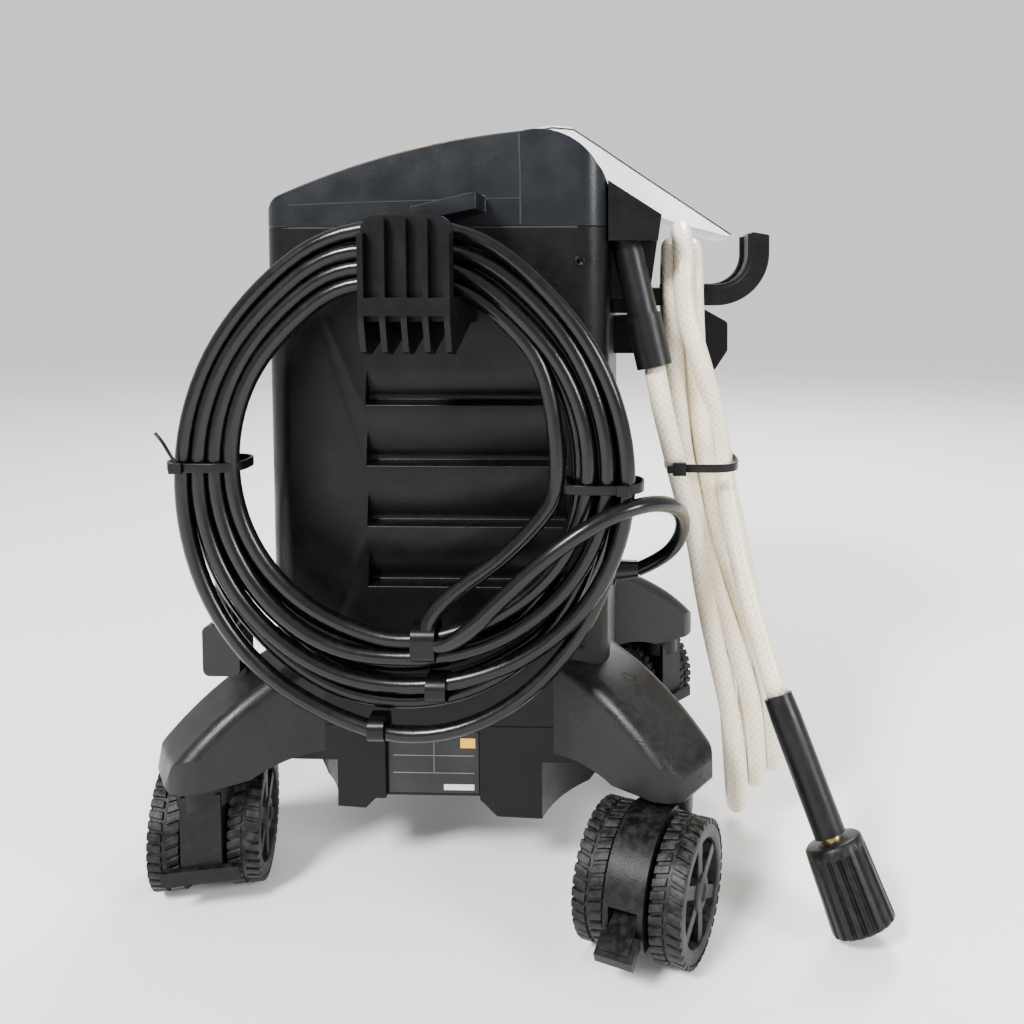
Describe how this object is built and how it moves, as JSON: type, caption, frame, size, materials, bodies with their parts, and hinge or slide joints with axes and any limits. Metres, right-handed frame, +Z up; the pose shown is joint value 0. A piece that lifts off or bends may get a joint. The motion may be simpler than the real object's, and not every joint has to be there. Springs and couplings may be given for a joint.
{
  "type": "pressure washer",
  "caption": "Compact electric pressure washer on swivelling twin-wheel casters, with a rear cord hook, a side hose hook, a coiled power cord and a folded high-pressure hose.",
  "frame": {"origin": "on the floor, under the middle of the object's box without its cord and hose", "axes": "+Z up, -Y is the rear face with the cord hook, +X is the side with the hose hook"},
  "size_m": [0.4325, 0.37, 0.4636],
  "materials": {
    "body_plastic": "moulded black plastic with a fine texture",
    "head_plastic": "moulded charcoal plastic, satin",
    "pale_panel": "pale glossy painted plastic",
    "leg_plastic": "moulded charcoal plastic, satin",
    "hook_plastic": "moulded black plastic",
    "caster_plastic": "moulded black nylon",
    "wheel_rubber": "hard black rubber tread on a plastic hub",
    "cord_rubber": "black cable jacket",
    "sleeve_rubber": "black shrink sleeve",
    "hose_pvc": "cream braided hose",
    "tie_nylon": "black nylon",
    "nut_plastic": "black nylon",
    "accent_plastic": "amber gloss plastic",
    "plated_steel": "zinc plated",
    "motor_steel": "painted sheet steel",
    "brass_fitting": "turned brass",
    "pump_aluminium": "die-cast aluminium"
  },
  "bodies": {
    "body": {"rear_housing": "body_plastic", "front_housing": "body_plastic", "base_pan": "body_plastic", "top_cover": "head_plastic", "top_panel": "pale_panel", "side_bracket": "body_plastic", "cord_hook": "hook_plastic", "gun_hook": "hook_plastic", "lower_bracket": "hook_plastic", "leg_rear_left": "leg_plastic", "leg_rear_right": "leg_plastic", "leg_front_left": "leg_plastic", "leg_front_right": "leg_plastic", "cord_gland": "cord_rubber", "power_lead": "cord_rubber", "cord_coil": "cord_rubber", "plug_lead": "cord_rubber", "cable_ties": "tie_nylon", "power_plug": "cord_rubber", "outlet_sleeve": "sleeve_rubber", "hose_lead": "hose_pvc", "hose_hank": "hose_pvc", "hose_tail": "hose_pvc", "hose_boot": "sleeve_rubber", "hose_stem": "brass_fitting", "motor": "motor_steel", "motor_bearings": "plated_steel", "pump_body": "pump_aluminium", "pump_pistons": "plated_steel", "manifold_head": "pump_aluminium", "outlet_tube": "plated_steel", "water_inlet": "brass_fitting", "switch_box": "caster_plastic"},
    "caster_rear_left": {"caster_housing_rear_left": "caster_plastic", "caster_stem_rear_left": "plated_steel", "caster_axle_rear_left": "plated_steel"},
    "wheel_a_rear_left": {"wheel_a_rear_left": "wheel_rubber"},
    "wheel_b_rear_left": {"wheel_b_rear_left": "wheel_rubber"},
    "brake_rear_left": {"brake_pedal_rear_left": "caster_plastic"},
    "caster_rear_right": {"caster_housing_rear_right": "caster_plastic", "caster_stem_rear_right": "plated_steel", "caster_axle_rear_right": "plated_steel"},
    "wheel_a_rear_right": {"wheel_a_rear_right": "wheel_rubber"},
    "wheel_b_rear_right": {"wheel_b_rear_right": "wheel_rubber"},
    "brake_rear_right": {"brake_pedal_rear_right": "caster_plastic"},
    "caster_front_left": {"caster_housing_front_left": "caster_plastic", "caster_stem_front_left": "plated_steel", "caster_axle_front_left": "plated_steel"},
    "wheel_a_front_left": {"wheel_a_front_left": "wheel_rubber"},
    "wheel_b_front_left": {"wheel_b_front_left": "wheel_rubber"},
    "caster_front_right": {"caster_housing_front_right": "caster_plastic", "caster_stem_front_right": "plated_steel", "caster_axle_front_right": "plated_steel"},
    "wheel_a_front_right": {"wheel_a_front_right": "wheel_rubber"},
    "wheel_b_front_right": {"wheel_b_front_right": "wheel_rubber"},
    "rotor": {"motor_shaft": "motor_steel", "cooling_fan": "caster_plastic", "swash_plate": "plated_steel"},
    "knob": {"switch_knob": "accent_plastic"},
    "swivel_nut": {"hose_swivel_nut": "nut_plastic"}
  },
  "joints": [
    {"name": "swivel_rear_left", "type": "hinge", "parent": "body", "child": "caster_rear_left", "pos_m": [-0.14477, -0.10972, 0.079], "axis": [0, 0, 1], "continuous": true},
    {"name": "roll_a_rear_left", "type": "hinge", "parent": "caster_rear_left", "child": "wheel_a_rear_left", "pos_m": [-0.15018, -0.08429, 0.036], "axis": [0.9781, 0.2079, 0], "continuous": true},
    {"name": "roll_b_rear_left", "type": "hinge", "parent": "caster_rear_left", "child": "wheel_b_rear_left", "pos_m": [-0.15018, -0.08429, 0.036], "axis": [0.9781, 0.2079, 0], "continuous": true},
    {"name": "brake_press_rear_left", "type": "hinge", "parent": "caster_rear_left", "child": "brake_rear_left", "pos_m": [-0.15579, -0.05788, 0.034], "axis": [0.9781, 0.2079, 0], "range_deg": [-14, 0]},
    {"name": "swivel_rear_right", "type": "hinge", "parent": "body", "child": "caster_rear_right", "pos_m": [0.12123, -0.10972, 0.079], "axis": [0, 0, 1], "continuous": true},
    {"name": "roll_a_rear_right", "type": "hinge", "parent": "caster_rear_right", "child": "wheel_a_rear_right", "pos_m": [0.11149, -0.13383, 0.036], "axis": [-0.9272, 0.3746, 0], "continuous": true},
    {"name": "roll_b_rear_right", "type": "hinge", "parent": "caster_rear_right", "child": "wheel_b_rear_right", "pos_m": [0.11149, -0.13383, 0.036], "axis": [-0.9272, 0.3746, 0], "continuous": true},
    {"name": "brake_press_rear_right", "type": "hinge", "parent": "caster_rear_right", "child": "brake_rear_right", "pos_m": [0.10138, -0.15886, 0.034], "axis": [-0.9272, 0.3746, 0], "range_deg": [-14, 0]},
    {"name": "swivel_front_left", "type": "hinge", "parent": "body", "child": "caster_front_left", "pos_m": [-0.14477, 0.11728, 0.079], "axis": [0, 0, 1], "continuous": true},
    {"name": "roll_a_front_left", "type": "hinge", "parent": "caster_front_left", "child": "wheel_a_front_left", "pos_m": [-0.13588, 0.14171, 0.036], "axis": [0.9397, -0.342, 0], "continuous": true},
    {"name": "roll_b_front_left", "type": "hinge", "parent": "caster_front_left", "child": "wheel_b_front_left", "pos_m": [-0.13588, 0.14171, 0.036], "axis": [0.9397, -0.342, 0], "continuous": true},
    {"name": "swivel_front_right", "type": "hinge", "parent": "body", "child": "caster_front_right", "pos_m": [0.12123, 0.11728, 0.079], "axis": [0, 0, 1], "continuous": true},
    {"name": "roll_a_front_right", "type": "hinge", "parent": "caster_front_right", "child": "wheel_a_front_right", "pos_m": [0.10131, 0.13399, 0.036], "axis": [0.6428, 0.766, 0], "continuous": true},
    {"name": "roll_b_front_right", "type": "hinge", "parent": "caster_front_right", "child": "wheel_b_front_right", "pos_m": [0.10131, 0.13399, 0.036], "axis": [0.6428, 0.766, 0], "continuous": true},
    {"name": "rotor_spin", "type": "hinge", "parent": "body", "child": "rotor", "pos_m": [-0.01177, 0.01328, 0.26], "axis": [0, 0, 1], "continuous": true},
    {"name": "switch_turn", "type": "hinge", "parent": "body", "child": "knob", "pos_m": [-0.01177, 0.10528, 0.345], "axis": [0, 1, 0], "range_deg": [0, 90]},
    {"name": "nut_spin", "type": "hinge", "parent": "body", "child": "swivel_nut", "pos_m": [0.21901, -0.12298, 0.03426], "axis": [0.3392, -0.3131, -0.8871], "continuous": true}
  ]
}
